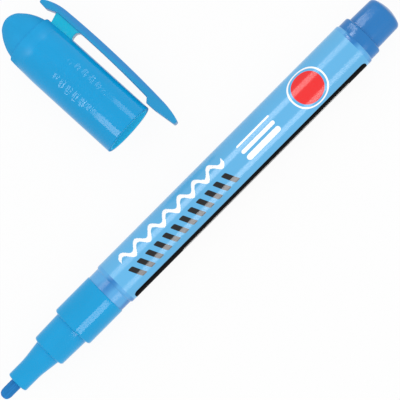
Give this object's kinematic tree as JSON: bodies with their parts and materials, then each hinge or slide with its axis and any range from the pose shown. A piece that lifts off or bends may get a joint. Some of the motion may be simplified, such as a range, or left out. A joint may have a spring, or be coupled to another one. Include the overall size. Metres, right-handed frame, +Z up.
{
  "type": "liquid chalk marker",
  "caption": "Round valve-action chalk marker with bullet nib, stepped grip section and tail plug, with its clip cap lying beside it.",
  "frame": {"origin": "on the pen's axis, at the middle of the label, one barrel radius above the surface it lies on", "axes": "+X along the pen from its nib to its tail plug, +Y towards the cap that lies beside it, +Z up"},
  "size_m": [0.1338, 0.0713, 0.0144],
  "materials": {
    "barrel_plastic": "translucent blue moulding, glossy",
    "label_film": null,
    "plug_plastic": "blue moulding, glossy",
    "grip_plastic": "cyan blue moulding, satin gloss",
    "nib_fibre": "pressed fibre soaked with blue ink",
    "felt": "loose felt soaked with blue ink",
    "seal_rubber": "black elastomer",
    "valve_plastic": "natural white moulding",
    "spring_steel": "drawn stainless wire",
    "ball_steel": "polished stainless ball",
    "cap_plastic": "cyan blue moulding, glossy",
    "clip_plastic": "cyan blue moulding, glossy",
    "liner_plastic": "pale soft plastic"
  },
  "bodies": {
    "pen": {"barrel": "barrel_plastic", "label_wrap": "label_film", "rear_plug": "plug_plastic", "grip_section": "grip_plastic", "ink_buffer": "felt", "valve_seat": "seal_rubber", "spring_cage": "valve_plastic", "valve_spring": "spring_steel"},
    "nib_plunger": {"nib": "nib_fibre", "valve_stem": "valve_plastic"},
    "ball": {"mixing_ball": "ball_steel"},
    "cap": {"cap_shell": "cap_plastic", "cap_inner_seal": "liner_plastic"},
    "clip": {"pocket_clip": "clip_plastic"}
  },
  "joints": [
    {"name": "nib_press", "type": "slide", "parent": "pen", "child": "nib_plunger", "axis": [1, 0, 0], "range_m": [0, 0.0015], "stiffness_N_per_m": 800, "springref_m": -0.001, "deforming": ["valve_spring"]},
    {"name": "ball_roll", "type": "slide", "parent": "pen", "child": "ball", "axis": [1, 0, 0], "range_m": [-0.0192, 0.0452]},
    {"name": "cap_lift", "type": "slide", "parent": "pen", "child": "cap", "axis": [0, 0, 1], "range_m": [0, 0.06]},
    {"name": "clip_flex", "type": "hinge", "parent": "cap", "child": "clip", "pos_m": [-0.00418, 0.0551, 0.0012], "axis": [0, 0, 1], "range_deg": [0, 5], "stiffness_Nm_per_rad": 1}
  ]
}
